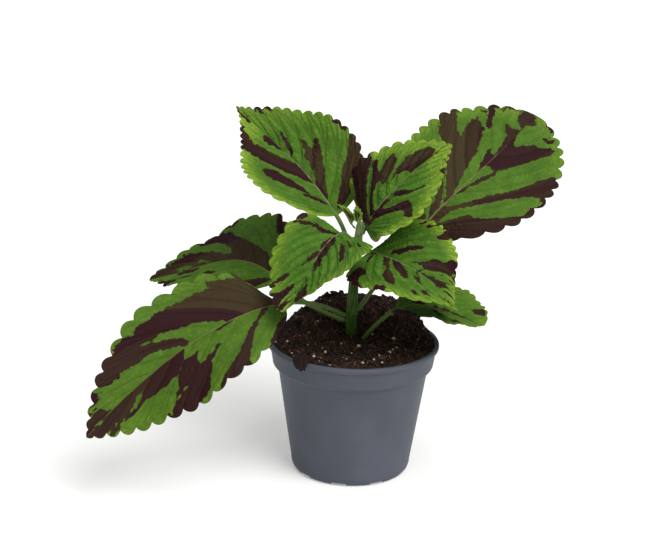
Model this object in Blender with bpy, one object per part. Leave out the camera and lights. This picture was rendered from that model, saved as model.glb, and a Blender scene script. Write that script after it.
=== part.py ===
"""A coleus in its nursery pot: eight opposite leaves on a square stem, standing in peat soil.

Metres, +Z up, +X to the right and +Y to the back. The pot stands on z = 0 with its centre at the origin.
"""

import math

import bmesh
import bpy
from mathutils import Matrix, Vector

MM = 0.001
GAP = 0.3 * MM

POT_HEIGHT = 94 * MM
RIM_R = 60 * MM
LIP_HEIGHT = 4.4 * MM
COLLAR_TOP_R = 58 * MM
COLLAR_LOW_R = 56.4 * MM
STEP_R = 52.6 * MM
STEP_Z = 76 * MM
BASE_R = 42.2 * MM
BASE_CORNER = 7 * MM
FOOT_R = 38.4 * MM
FOOT_WIDTH = 3.4 * MM
FOOT_HEIGHT = 2.2 * MM
HUB_R = 9 * MM
WALL = 1.5 * MM
FLOOR = 2 * MM
FOOT_NOTCHES = 9
NOTCH_WIDTH = 11 * MM
NOTCH_TURN = math.radians(-62)
DRAINS = 6
DRAIN_R = 3.5 * MM
DRAIN_CIRCLE = 24 * MM
POT_STEPS = 48

SOIL_LEVEL = POT_HEIGHT - 1 * MM
SOIL_STEPS = 48
SOIL_RINGS = 12
HEAP_HEIGHT = 20 * MM
HEAP_X, HEAP_Y = 4 * MM, 38 * MM
HEAP_LONG, HEAP_SHORT = 52 * MM, 30 * MM
MOUND_HEIGHT, MOUND_R = 5 * MM, 13 * MM
CRUMB = 0.7 * MM
STEM_HOLE_R = 4.2 * MM
STEM_HOLE_Z = 63.7 * MM

STEM_HALF = 3.4 * MM
STEM_FOOT_Z = 64 * MM
STEM_TOP_Z = 177 * MM
STEM_TURN = math.radians(35)
STEM_STEPS = 16
# Height and sideways place of the stem's centre line.
STEM_LEAN = ((60, -2), (113, -1.8), (150, -0.6), (172, 1.6), (185, 3.2))

PETIOLE_THICK = 3.2 * MM
BLADE_THICK = 0.7 * MM
RIB_THICK = 2.2 * MM
# Places of the blade's columns from midrib to margin, as parts of the half width.
COLUMNS = (0, 0.06, 0.38, 0.72, 1)

# Rows lie closer at the blade's base along the midrib, and at its tip along the margin.
ROW_MIDRIB = 0.75
ROW_MARGIN = 1.43
MOST_TOOTH = 3 * MM

# One row for each leaf. Lengths are in mm. rise, heading and roll are in degrees: rise above level and
# heading from +X, each at the stem, the blade's base, its middle and its tip; roll lifts the left half, at
# base and tip. fold lifts and curl bends the left and right halves. belly and point shape the outline, and
# skew makes the left half the wider one.
LEAVES = {
    "leaf_a": dict(node=112, petiole=58, length=162, width=83, teeth=12,
                   rise=(31, 1, -34, -29), heading=(215, 215, 200, 232), roll=(-6, -48),
                   fold=(3, 24), curl=(-20, 7), belly=0.56, point=0.89, skew=0.04, ruffle=2.0),
    "leaf_b": dict(node=106.5, petiole=62, length=128, width=85, teeth=13,
                   rise=(6, 31, -20, -12), heading=(147, 142, 141, 180), roll=(-26, 9),
                   fold=(3, 22), curl=(-23, 3), belly=0.57, point=0.75, skew=-0.12, ruffle=1.5),
    "leaf_c": dict(node=146, petiole=38, length=120, width=88, teeth=17,
                   rise=(64, 46, 23, 48), heading=(108, 140, 130, 175), roll=(-7, -18),
                   fold=(13, 28), curl=(-8, 8), belly=0.64, point=1.04, skew=0, ruffle=1.0),
    "leaf_d": dict(node=166, petiole=16, length=82, width=67, teeth=14,
                   rise=(45, 16, -43, -9), heading=(222, 242, 235, 243), roll=(-19, 32),
                   fold=(15, 24), curl=(-9, -2), belly=0.44, point=0.67, skew=0.1, ruffle=1.0),
    "leaf_e": dict(node=170, petiole=4.7, length=85, width=71, teeth=13,
                   rise=(62, 65, 41, 25), heading=(55, -21, 22, 12), roll=(37, 39),
                   fold=(10, 19), curl=(-12, -1), belly=0.33, point=0.88, skew=-0.02, ruffle=1.0),
    "leaf_f": dict(node=157.5, petiole=8.5, length=83, width=79, teeth=15,
                   rise=(40, 2, -15, -66), heading=(326, 313, 321, 377), roll=(18, -4),
                   fold=(22, 6), curl=(3, -16), belly=0.43, point=0.69, skew=-0.01, ruffle=1.0),
    "leaf_g": dict(node=113, petiole=73, length=141, width=109, teeth=19,
                   rise=(38, 47, 24, 34), heading=(49, 27, 47, 45), roll=(38, 31),
                   fold=(-3, 11), curl=(-7, 2), belly=0.6, point=0.57, skew=0.02, ruffle=1.5),
    "leaf_h": dict(node=93, out=7.5, petiole=35, length=68, width=62, teeth=12,
                   rise=(55, 41, -11, -6), heading=(329, 346, 345, 340), roll=(6, -5),
                   fold=(15, 9), curl=(3, -4), belly=0.51, point=0.45, skew=0.01, ruffle=1.0),
    "young_leaf_left": dict(node=175, petiole=3, length=17, width=12, teeth=5,
                            rise=(45, 52, 50, 35), heading=(165, 158, 152, 150), roll=(10, 10),
                            fold=(25, 25), curl=(0, 0), belly=0.5, point=0.8, skew=0, ruffle=0.2),
    "young_leaf_back": dict(node=176, petiole=2.5, length=11, width=7.5, teeth=4,
                            rise=(60, 72, 70, 62), heading=(110, 110, 112, 115), roll=(0, 0),
                            fold=(20, 20), curl=(0, 0), belly=0.5, point=0.7, skew=0, ruffle=0.1),
}

LEAF_GREEN = (0.115, 0.305, 0.021)
STEM_GREEN = (0.10, 0.20, 0.035)
SOIL_BROWN = (0.035, 0.018, 0.010)
BARK_BROWN = (0.055, 0.016, 0.012)
POT_GREY = (0.100, 0.110, 0.130)


def clear_scene():
    for obj in list(bpy.data.objects):
        bpy.data.objects.remove(obj)


def make_material(name, colour, roughness):
    material = bpy.data.materials.new(name)
    material.use_nodes = True
    shader = material.node_tree.nodes["Principled BSDF"]
    shader.inputs["Base Color"].default_value = (*colour, 1)
    shader.inputs["Roughness"].default_value = roughness
    shader.inputs["Metallic"].default_value = 0
    return material


def add_object(name, bm, material):
    mesh = bpy.data.meshes.new(name)
    bm.to_mesh(mesh)
    bm.free()
    obj = bpy.data.objects.new(name, mesh)
    bpy.context.scene.collection.objects.link(obj)
    obj.data.materials.append(material)
    return obj


def lathe(profile, steps):
    """A closed solid turned from (radius, height) points that start and end on the axis."""
    bm = bmesh.new()
    points = [bm.verts.new((r, 0, z)) for r, z in profile]
    edges = [bm.edges.new(pair) for pair in zip(points, points[1:])]
    bmesh.ops.spin(bm, geom=points + edges, cent=(0, 0, 0), axis=(0, 0, 1),
                   angle=2 * math.pi, steps=steps, use_merge=True)
    bmesh.ops.remove_doubles(bm, verts=bm.verts, dist=0.01 * MM)
    bmesh.ops.recalc_face_normals(bm, faces=bm.faces)
    return bm


def inner_wall(offset=0.0):
    """Points of the pot's inside from the rim down to the floor, moved in by offset."""
    corner = (BASE_R - WALL - offset, BASE_CORNER + 1 * MM)
    return [
        (COLLAR_TOP_R - WALL - offset, POT_HEIGHT - LIP_HEIGHT),
        (COLLAR_LOW_R - WALL - offset, STEP_Z + 3 * MM),
        (STEP_R - WALL - offset, STEP_Z - 1.5 * MM),
        corner,
        (FOOT_R - offset, FOOT_HEIGHT + FLOOR + offset),
    ]


def make_pot(material):
    corner = [
        (FOOT_R + (BASE_R - FOOT_R) * math.sin(turn), BASE_CORNER * (1 - math.cos(turn)))
        for turn in (math.radians(a) for a in (22, 45, 67, 90))
    ]
    outside = [
        (0, 0), (HUB_R, 0), (HUB_R + 1 * MM, FOOT_HEIGHT), (FOOT_R - FOOT_WIDTH - 1 * MM, FOOT_HEIGHT),
        (FOOT_R - FOOT_WIDTH, 0), (FOOT_R, 0), *corner,
        (STEP_R, STEP_Z), (STEP_R + 2.2 * MM, STEP_Z + 0.5 * MM), (COLLAR_LOW_R, STEP_Z + 3 * MM),
        (COLLAR_TOP_R, POT_HEIGHT - LIP_HEIGHT), (RIM_R - 0.4 * MM, POT_HEIGHT - LIP_HEIGHT + 0.9 * MM),
        (RIM_R, POT_HEIGHT - 2 * MM), (RIM_R - 0.5 * MM, POT_HEIGHT - 0.5 * MM),
        (RIM_R - 1.4 * MM, POT_HEIGHT), (COLLAR_TOP_R - WALL + 0.8 * MM, POT_HEIGHT - 0.1 * MM),
        (COLLAR_TOP_R - WALL + 0.1 * MM, POT_HEIGHT - 1 * MM),
    ]
    floor = [(0, FOOT_HEIGHT + FLOOR)]
    pot = add_object("pot", lathe(outside + inner_wall() + floor, POT_STEPS), material)
    cut = pot.modifiers.new("drain cuts", "BOOLEAN")
    cut.operation = "DIFFERENCE"
    cut.solver = "EXACT"
    cut.object = make_drain_cutter()
    return pot


def make_drain_cutter():
    """Notches through the foot ring, and round holes through the floor."""
    bm = bmesh.new()
    for i in range(FOOT_NOTCHES):
        turn = Matrix.Rotation(NOTCH_TURN + i * 2 * math.pi / FOOT_NOTCHES, 4, "Z")
        size = Matrix.Diagonal((14 * MM, NOTCH_WIDTH, 2 * FOOT_HEIGHT, 1))
        place = Matrix.Translation((FOOT_R + 0.5 * MM, 0, 0))
        bmesh.ops.create_cube(bm, size=1, matrix=turn @ place @ size)
    for i in range(DRAINS):
        turn = Matrix.Rotation((i + 0.5) * 2 * math.pi / DRAINS, 4, "Z")
        place = Matrix.Translation((DRAIN_CIRCLE, 0, FOOT_HEIGHT + FLOOR / 2))
        bmesh.ops.create_cone(bm, cap_ends=True, segments=16, radius1=DRAIN_R, radius2=DRAIN_R,
                              depth=FLOOR * 3, matrix=turn @ place)
    cutter = add_object("drain_cutter", bm, None)
    cutter.hide_render = True
    cutter.display_type = "WIRE"
    return cutter


def heap_height(x, y):
    """Height of the soil's surface: level at the rim, drawn up round the stem, heaped behind it, crumbly."""
    r = math.hypot(x, y) / COLLAR_TOP_R
    edge = max(0.0, 1 - r ** 14)
    heap = math.exp(-(((x - HEAP_X) / HEAP_LONG) ** 4) - ((y - HEAP_Y) / HEAP_SHORT) ** 4)
    mound = MOUND_HEIGHT * math.exp(-(x * x + y * y) / MOUND_R ** 2)
    u, v = x / MM, y / MM
    crumbs = math.sin(0.83 * u + 1.9 * math.sin(0.31 * v)) * math.sin(0.71 * v + 1.3 * math.sin(0.47 * u))
    crumbs += 0.6 * math.sin(1.7 * u + 0.6 * v) * math.sin(1.1 * v - 0.9 * u + 1)
    return SOIL_LEVEL + edge * HEAP_HEIGHT * heap + mound + CRUMB * crumbs * (0.4 + 0.6 * edge)


def stem_centre(z):
    """Sideways place of the stem's centre line at a height."""
    points = [(h * MM, x * MM) for h, x in STEM_LEAN]
    for (low, x_low), (high, x_high) in zip(points, points[1:]):
        if z <= high:
            t = max(0.0, (z - low) / (high - low))
            return x_low + (x_high - x_low) * t
    return points[-1][1]


def make_soil(material):
    """The soil fills the pot, with a plain hole for the stem and one for the lowest leaf's stalk."""
    outer = COLLAR_TOP_R - WALL - GAP - 0.4 * MM
    top = [
        (STEM_HOLE_R + (outer - STEM_HOLE_R) * i / SOIL_RINGS, SOIL_LEVEL)
        for i in range(SOIL_RINGS + 1)
    ]
    profile = [(0, STEM_HOLE_Z), (STEM_HOLE_R, STEM_HOLE_Z), *top, *inner_wall(GAP),
               (0, FOOT_HEIGHT + FLOOR + GAP)]
    bm = lathe(profile, SOIL_STEPS)
    for vert in bm.verts:
        r = math.hypot(vert.co.x, vert.co.y)
        if vert.co.z > STEM_HOLE_Z - 1 * MM and r < STEM_HOLE_R * 1.01:
            vert.co.x += stem_centre(vert.co.z)
        if vert.co.z > SOIL_LEVEL - 0.01 * MM:
            vert.co.z = heap_height(vert.co.x, vert.co.y)
    soil = add_object("soil", bm, material)
    cut = soil.modifiers.new("stalk hole", "BOOLEAN")
    cut.operation = "DIFFERENCE"
    cut.solver = "EXACT"
    cut.object = make_stalk_cutter()
    return soil


def make_stalk_cutter():
    leaf = LEAVES["leaf_h"]
    along = direction(leaf["rise"][0], leaf["heading"][0])
    start = petiole_start(leaf)
    bm = bmesh.new()
    bmesh.ops.create_cone(bm, cap_ends=True, segments=16, radius1=2.2 * MM, radius2=2.2 * MM,
                          depth=24 * MM, matrix=Matrix.Translation(start + along * 11 * MM)
                          @ along.to_track_quat("Z", "Y").to_matrix().to_4x4())
    cutter = add_object("stalk_cutter", bm, None)
    cutter.hide_render = True
    cutter.display_type = "WIRE"
    return cutter


def make_stem(material):
    """A square stem with rounded corners, a little thicker at each pair of leaves, ending in the bud."""
    heights = [STEM_FOOT_Z + (STEM_TOP_Z - STEM_FOOT_Z) * i / 18 for i in range(19)]
    profile = [(0, STEM_FOOT_Z)] + [(STEM_HALF, z) for z in heights] + [
        (STEM_HALF * 0.8, STEM_TOP_Z + 1.5 * MM), (STEM_HALF * 0.4, STEM_TOP_Z + 3 * MM), (0, STEM_TOP_Z + 3.6 * MM)]
    bm = lathe(profile, STEM_STEPS)
    for vert in bm.verts:
        z = vert.co.z
        scale = stem_radius(z, math.atan2(vert.co.y, vert.co.x)) / STEM_HALF
        vert.co.x = vert.co.x * scale + stem_centre(z)
        vert.co.y = vert.co.y * scale
    return add_object("stem", bm, material)


def direction(rise, heading):
    """Unit vector at an angle above level and a heading from +X, in degrees."""
    e, h = math.radians(rise), math.radians(heading)
    return Vector((math.cos(e) * math.cos(h), math.cos(e) * math.sin(h), math.sin(e)))


def through_three(values, t):
    """Smooth change through three values at t = 0, 0.5 and 1."""
    a, b, c = values
    return a * 2 * (t - 0.5) * (t - 1) - b * 4 * t * (t - 1) + c * 2 * t * (t - 0.5)


def stem_radius(z, heading):
    """From the centre line to the stem's side: square with rounded corners, and slimmer near the top."""
    turn = heading - STEM_TURN
    corner = (abs(math.cos(turn)) ** 3 + abs(math.sin(turn)) ** 3) ** (-1 / 3)
    return STEM_HALF * corner * (1 - 0.3 * max(0.0, (z - 120 * MM) / (STEM_TOP_Z - 120 * MM)))


def petiole_start(leaf):
    """The stalk begins a small gap from the stem, or at a stated distance out in the soil."""
    z = leaf["node"] * MM
    lean = 0.5 * PETIOLE_THICK * leaf_scale(leaf) * math.sin(math.radians(leaf["rise"][0]))
    out = stem_radius(z, math.radians(leaf["heading"][0])) + GAP + lean
    out = leaf["out"] * MM if "out" in leaf else out + 0.1 * MM
    return Vector((stem_centre(z), 0, z)) + direction(0, leaf["heading"][0]) * out


def petiole_angles(leaf, t):
    rise = leaf["rise"][0] + (leaf["rise"][1] - leaf["rise"][0]) * t ** 1.5
    heading = leaf["heading"][0] + (leaf["heading"][1] - leaf["heading"][0]) * t
    return rise, heading


def centre_lines(leaf, steps=60):
    """Places along the petiole and along the blade's midrib, each at even steps."""
    petiole = [petiole_start(leaf)]
    for i in range(steps):
        ahead = direction(*petiole_angles(leaf, (i + 0.5) / steps))
        petiole.append(petiole[-1] + ahead * leaf["petiole"] * MM / steps)
    blade = [petiole[-1]]
    for i in range(steps):
        t = (i + 0.5) / steps
        ahead = direction(through_three(leaf["rise"][1:], t), through_three(leaf["heading"][1:], t))
        blade.append(blade[-1] + ahead * leaf["length"] * MM / steps)
    return petiole, blade


def along_line(line, t):
    place = min(max(t, 0.0), 1.0) * (len(line) - 1)
    i = min(int(place), len(line) - 2)
    return line[i].lerp(line[i + 1], place - i)


def cross_frame(rise, heading, roll):
    """Directions to the left and up across a leaf."""
    e, h, r = math.radians(rise), math.radians(heading), math.radians(roll)
    left = Vector((-math.sin(h), math.cos(h), 0))
    up = Vector((-math.sin(e) * math.cos(h), -math.sin(e) * math.sin(h), math.cos(e)))
    return left * math.cos(r) + up * math.sin(r), up * math.cos(r) - left * math.sin(r)


def half_width(leaf, x):
    """Half width of the smooth outline at x from the base, 0, to the tip, 1."""
    a, b = leaf["belly"], leaf["point"]
    widest = a / (a + b)
    return 0.5 * leaf["width"] * MM * (x / widest) ** a * ((1 - x) / (1 - widest)) ** b


def leaf_scale(leaf):
    """Stalk thickness against a full-grown leaf's."""
    return min(1.0, 0.25 + leaf["length"] / 100)


def across(column, width):
    """Where a column lies, as a part of the half width: even on the stalk and the narrow tip."""
    even = column / (len(COLUMNS) - 1)
    return even + (COLUMNS[column] - even) * min(1.0, width / (12 * MM))


def tooth_depth(leaf, u):
    """How far the margin stands out or in at u, which has a whole step in it for each rounded tooth."""
    depth = min(0.32 * leaf["length"] / leaf["teeth"] * MM, MOST_TOOTH)
    scallop = abs(math.sin(math.pi * u * leaf["teeth"])) ** 0.6
    return depth * min(1.0, 8 * u, 6 * (1 - u)) * (scallop - 0.5)


def blade_place(leaf, blade, u, column, side):
    """A place on the blade and the normal there. u counts its rows, which leave the midrib and lean
    forward with the side veins to the margin. side is 1 on the left and -1 on the right."""
    at_midrib = 1 - (1 - u) ** ROW_MIDRIB
    at_margin = 1 - (1 - u) ** ROW_MARGIN
    stalk = 0.5 * PETIOLE_THICK * leaf_scale(leaf) * (1 - u)
    width = max(half_width(leaf, at_margin) * (1 + side * leaf["skew"]), stalk)
    v = across(column, width - stalk)
    x = at_midrib + (at_margin - at_midrib) * v ** 1.4
    if column == len(COLUMNS) - 1:
        near = [min(max(at_margin + step, 0.0), 1.0) for step in (-0.01, 0.01)]
        slope = (half_width(leaf, near[1]) - half_width(leaf, near[0])) / ((near[1] - near[0]) * leaf["length"] * MM)
        depth = tooth_depth(leaf, u) / math.hypot(1, slope)
        width += depth
        x -= depth * slope / (leaf["length"] * MM)
    opening = min(1.0, 12 * u)
    fold = opening * math.radians(leaf["fold"][0 if side > 0 else 1])
    curl = opening * math.radians(leaf["curl"][0 if side > 0 else 1]) or 1e-4
    out = width * (math.sin(fold + curl * v) - math.sin(fold)) / curl
    lift = width * (math.cos(fold) - math.cos(fold + curl * v)) / curl
    wave = math.sin(2 * math.pi * (3.5 * u + 0.25 * side)) * math.sin(math.pi * u)
    lift += leaf["ruffle"] * MM * v * v * wave
    roll = leaf["roll"][0] + (leaf["roll"][1] - leaf["roll"][0]) * x
    left, up = cross_frame(through_three(leaf["rise"][1:], x), through_three(leaf["heading"][1:], x), roll)
    tilt = (fold + curl * v) * min(1.0, 4 * v)
    normal = up * math.cos(tilt) - left * side * math.sin(tilt)
    return along_line(blade, x) + left * side * out + up * lift, normal


def petiole_place(leaf, petiole, t, column, side):
    rise, heading = petiole_angles(leaf, t)
    left, up = cross_frame(rise, heading, leaf["roll"][0] * t)
    half = 0.5 * PETIOLE_THICK * leaf_scale(leaf)
    return along_line(petiole, t) + left * side * half * across(column, 0), up


def thickness(leaf, s, column):
    """Thickness above and below the middle surface: an oval stalk, then a blade with its rib below."""
    across_stalk = across(column, 0)
    oval = 0.5 * PETIOLE_THICK * leaf_scale(leaf) * max(0.3, math.sqrt(1 - across_stalk ** 2))
    stalk = min(max(1 - 12 * s, 0.0), 1.0)
    above = 0.5 * BLADE_THICK
    below = max(above, (RIB_THICK * leaf_scale(leaf) - above) * (1 - s)) if column == 0 else above
    return above + (oval - above) * stalk, below + (oval - below) * stalk


def make_leaf(name, leaf, material):
    """Stalk and blade in one: a grid laid on the leaf's middle surface, then given its thickness."""
    half_columns = len(COLUMNS) - 1
    petiole_rows = 6 if leaf["petiole"] > 20 else 3
    rows_a_tooth = 2 if leaf["teeth"] < 14 else 1
    blade_rows = rows_a_tooth * leaf["teeth"]
    rows = petiole_rows + blade_rows
    bm = bmesh.new()
    bmesh.ops.create_grid(bm, x_segments=2 * half_columns, y_segments=rows, size=0.5)
    margin = [e for e in bm.edges if all(abs(v.co.x) > 0.499 for v in e.verts)
              and sum(v.co.y for v in e.verts) / 2 + 0.5 > petiole_rows / rows]
    bmesh.ops.subdivide_edges(bm, edges=margin, cuts=4 // rows_a_tooth - 1)
    row_layer = bm.verts.layers.float.new("row")
    column_layer = bm.verts.layers.float.new("column")
    for vert in bm.verts:
        vert[row_layer] = (vert.co.y + 0.5) * rows - petiole_rows
        vert[column_layer] = vert.co.x * 2 * half_columns
    petiole, blade = centre_lines(leaf)

    def place(vert):
        row, column = vert[row_layer], vert[column_layer]
        side = 1 if column >= 0 else -1
        if row < -1e-4:
            return petiole_place(leaf, petiole, 1 + row / petiole_rows, round(abs(column)), side)
        return blade_place(leaf, blade, min(max(row / blade_rows, 0.0), 1.0), round(abs(column)), side)

    for vert in bm.verts:
        vert.co = place(vert)[0]
    bmesh.ops.remove_doubles(bm, verts=bm.verts, dist=0.02 * MM)
    bmesh.ops.triangulate(bm, faces=bm.faces)
    sheet = list(bm.verts) + list(bm.edges) + list(bm.faces)
    below = bmesh.ops.extrude_face_region(bm, geom=sheet, use_keep_orig=True)["geom"]
    below = {item for item in below if isinstance(item, bmesh.types.BMVert)}
    for vert in bm.verts:
        normal = place(vert)[1]
        upper, lower = thickness(leaf, vert[row_layer] / blade_rows, round(abs(vert[column_layer])))
        vert.co += normal * (-lower if vert in below else upper)
    bmesh.ops.recalc_face_normals(bm, faces=bm.faces)
    if bm.calc_volume(signed=True) < 0:
        bmesh.ops.reverse_faces(bm, faces=bm.faces)
    return add_object(name, bm, material)


def make_bark_flake(material):
    """A flake of bark lying on the soil's edge and bent over the pot's lip."""
    heading, width, thick = math.radians(231), 16 * MM, 1.4 * MM
    bend = ((52.5, 96.8), (56.5, 96.2), (60.2, 95.6), (61.8, 93.6), (62.2, 89.5), (62.6, 87.5))
    bm = bmesh.new()
    bmesh.ops.create_grid(bm, x_segments=4, y_segments=len(bend) - 1, size=0.5)
    for vert in bm.verts:
        row = round((vert.co.y + 0.5) * (len(bend) - 1))
        across = vert.co.x * width * (1 - 0.11 * row) + 0.8 * MM * row
        r, z = bend[row][0] * MM, (bend[row][1] + 0.5 * math.sin(9 * vert.co.x + row)) * MM
        turn = heading + across / r
        vert.co = (r * math.cos(turn), r * math.sin(turn), z)
    bmesh.ops.triangulate(bm, faces=bm.faces)
    flake = add_object("bark_flake", bm, material)
    solid = flake.modifiers.new("thickness", "SOLIDIFY")
    solid.thickness = thick
    solid.offset = 0
    return flake


def main():
    clear_scene()
    leaf_material = make_material("leaf", LEAF_GREEN, 0.5)
    make_pot(make_material("pot_plastic", POT_GREY, 0.5))
    make_soil(make_material("soil", SOIL_BROWN, 0.95))
    make_stem(make_material("stem", STEM_GREEN, 0.55))
    make_bark_flake(make_material("bark", BARK_BROWN, 0.9))
    for name, leaf in LEAVES.items():
        make_leaf(name, leaf, leaf_material)


main()
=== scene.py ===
# Coleus in its nursery pot: leaves, stem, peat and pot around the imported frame.
import math
from functools import partial

import bmesh
import bpy
import numpy as np
from mathutils import Matrix, Vector, noise
from mathutils.kdtree import KDTree


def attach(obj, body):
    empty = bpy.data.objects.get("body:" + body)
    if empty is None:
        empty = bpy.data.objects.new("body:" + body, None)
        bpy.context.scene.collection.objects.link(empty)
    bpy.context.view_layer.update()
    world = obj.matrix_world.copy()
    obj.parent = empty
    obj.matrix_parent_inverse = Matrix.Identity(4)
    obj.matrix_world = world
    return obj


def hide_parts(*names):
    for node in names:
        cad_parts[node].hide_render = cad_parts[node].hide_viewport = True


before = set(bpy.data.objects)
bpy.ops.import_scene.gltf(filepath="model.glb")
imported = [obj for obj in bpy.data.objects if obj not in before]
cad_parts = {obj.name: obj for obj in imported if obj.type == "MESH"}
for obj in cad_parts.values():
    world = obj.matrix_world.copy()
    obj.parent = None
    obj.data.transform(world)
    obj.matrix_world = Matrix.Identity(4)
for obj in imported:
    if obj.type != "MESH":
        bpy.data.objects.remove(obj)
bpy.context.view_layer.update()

mm = 0.001
fullTurn = 2 * math.pi
# settings that many nodes share
eased = dict(interpolation_type="SMOOTHSTEP")
mixed = dict(out=2, data_type="RGBA")


# helpers

# a colour such as "7a9c31" as linear red, green, blue and alpha
def srgb(code):
    parts = [int(code[i:i + 2], 16) / 255 for i in (0, 2, 4)]
    return (*[p / 12.92 if p <= 0.04045 else ((p + 0.055) / 1.055) ** 2.4 for p in parts], 1)


# an input takes a value, a colour's code, or a socket to link
def setInput(material, socket, value):
    if isinstance(value, bpy.types.NodeSocket):
        material.node_tree.links.new(value, socket)
    else:
        socket.default_value = srgb(value) if isinstance(value, str) else value


# adds a node with its settings and inputs, and gives the output asked for
def addNode(material, kind, inputs=None, out=0, **settings):
    node = material.node_tree.nodes.new("ShaderNode" + kind)
    for name, value in settings.items():
        setattr(node, name, value)
    for name, value in (inputs or {}).items():
        setInput(material, node.inputs[name], value)
    return node.outputs[out]


# a new material, and addNode for it
def newMaterial(name):
    material = bpy.data.materials.new(name)
    material.use_nodes = True
    return material, partial(addNode, material)


def setShader(material, inputs):
    shader = material.node_tree.nodes["Principled BSDF"]
    for name, value in inputs.items():
        setInput(material, shader.inputs[name], value)
    return material


# noise with grains of a size in mm, and the mix of two colours that follows it over a span of its values
def mottled(node, place, size, detail, span, first, second, most=1.0, **more):
    noisy = node("TexNoise", {"Vector": place, "Scale": 1 / (size * mm), "Detail": detail, **more})
    share = node("MapRange", {0: noisy, 1: span[0], 2: span[1], 4: most}, **eased)
    return noisy, node("Mix", {0: share, 6: first, 7: second}, **mixed)


def toMesh(bm, name):
    mesh = bpy.data.meshes.new(name)
    bm.to_mesh(mesh)
    bm.free()
    return mesh


def addObject(name, data):
    made = bpy.data.objects.new(name, data)
    bpy.context.scene.collection.objects.link(made)
    return made


def setSlot(verts, slot):
    for face in {f for v in verts for f in v.link_faces}:
        face.material_index = slot


# the bmesh becomes a piece that rides on the one body
def addPiece(name, bm, materials, node=None, smoothAngle=None):
    mesh = toMesh(bm, name)
    piece = addObject(name, mesh)
    for material in materials:
        mesh.materials.append(material)
    mesh.shade_smooth()
    if smoothAngle:
        mesh.set_sharp_from_angle(angle=math.radians(smoothAngle))
    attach(piece, "root")
    if node:
        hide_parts(node)
    return piece


# a closed solid turned from (radius, height) points that start and end on the axis, in mm
def lathe(profile, steps):
    bm = bmesh.new()
    points = [bm.verts.new((r * mm, 0, z * mm)) for r, z in profile]
    edges = [bm.edges.new(pair) for pair in zip(points, points[1:])]
    bmesh.ops.spin(bm, geom=points + edges, cent=(0, 0, 0), axis=(0, 0, 1),
                   angle=fullTurn, steps=steps, use_merge=True)
    bmesh.ops.remove_doubles(bm, verts=bm.verts, dist=0.005 * mm)
    bmesh.ops.recalc_face_normals(bm, faces=bm.faces)
    return bm


# a tube along points in mm, closed where a radius is 0; across gives its sideways directions, shape scales
# its radius by the angle round it, and from changeRow on it takes the next slot
def addTube(bm, line, radii, sides, across=None, shape=None, slot=0, changeRow=None):
    line, radii = np.asarray(line, float), np.asarray(radii, float)
    ahead = np.gradient(line, axis=0)
    ahead /= np.linalg.norm(ahead, axis=1)[:, None]
    if across is None:
        guide = np.array([0.3, 0.2, 1.0]) if abs(ahead[0][2]) < 0.9 else np.array([1.0, 0.1, 0])
        across = np.cross(ahead, guide)
    across = across - ahead * np.sum(across * ahead, 1)[:, None]
    across /= np.linalg.norm(across, axis=1)[:, None]
    up = np.cross(ahead, across)
    grid = bmesh.ops.create_grid(bm, x_segments=sides, y_segments=len(line) - 1, size=0.5)["verts"]
    for face in {f for v in grid for f in v.link_faces}:
        row = (face.calc_center_median().y + 0.5) * (len(line) - 1)
        face.material_index = slot + int(changeRow is not None and row > changeRow)
    for vert in grid:
        row = round((vert.co.y + 0.5) * (len(line) - 1))
        turn = fullTurn * (vert.co.x + 0.5)
        radius = radii[row] * (shape(turn, row) if shape else 1)
        place = line[row] + (across[row] * math.cos(turn) + up[row] * math.sin(turn)) * radius
        vert.co = Vector(place) * mm
    bmesh.ops.remove_doubles(bm, verts=grid, dist=0.002 * mm)


# pot

pot = dict(height=94, rimR=60, lipHeight=4.4, collarTopR=58, collarLowR=56.4, stepR=52.6, stepZ=76,
           baseR=42.2, baseCorner=7, footR=38.4, footWidth=3.4, footHeight=2.2, hubR=9,
           wall=1.5, floor=2, notches=9, notchWidth=11, notchTurn=-62,
           drains=6, drainR=3.5, drainCircle=24, steps=160)


def insideOfPot(offset=0.0):
    p = pot
    return [(p["collarTopR"] - p["wall"] - offset, p["height"] - p["lipHeight"]),
            (p["collarLowR"] - p["wall"] - offset, p["stepZ"] + 3),
            (p["stepR"] - p["wall"] - offset, p["stepZ"] - 1.5),
            (p["baseR"] - p["wall"] - offset, p["baseCorner"] + 1),
            (p["footR"] - offset, p["footHeight"] + p["floor"] + offset)]


# polypropylene, injection moulded: an even blue-grey with a fine matt texture and a soft gloss
def potPlastic():
    material, node = newMaterial("greyPolypropylene")
    place = node("TexCoord", out="Object")
    grain = node("TexNoise", {"Vector": place, "Scale": 1 / (0.7 * mm), "Detail": 3})
    drawn = node("Mapping", {"Vector": place, "Scale": (1, 1, 0.12)})
    cloud, grey = mottled(node, place, 30, 4, (0.35, 0.7), "50545d", "555a64")
    _, worn = mottled(node, drawn, 1.6, 2, (0.66, 0.8), grey, "575b62", 0.6)
    # crumbs of dry peat on the wall
    speck = node("TexVoronoi", {"Vector": place, "Scale": 1 / (8 * mm)})
    dusty = node("MapRange", {0: speck, 1: 0.06, 2: 0.03, 4: 0.6})
    colour = node("Mix", {0: dusty, 6: worn, 7: "2f2823"}, **mixed)
    gloss = node("MapRange", {0: cloud, 3: 0.42, 4: 0.56})
    bump = node("Bump", {"Height": grain, "Strength": 0.25, "Distance": 0.08 * mm})
    return setShader(material, {"Base Color": colour, "Roughness": gloss, "Normal": bump, "IOR": 1.49,
                                "Specular IOR Level": 0.08})


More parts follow.
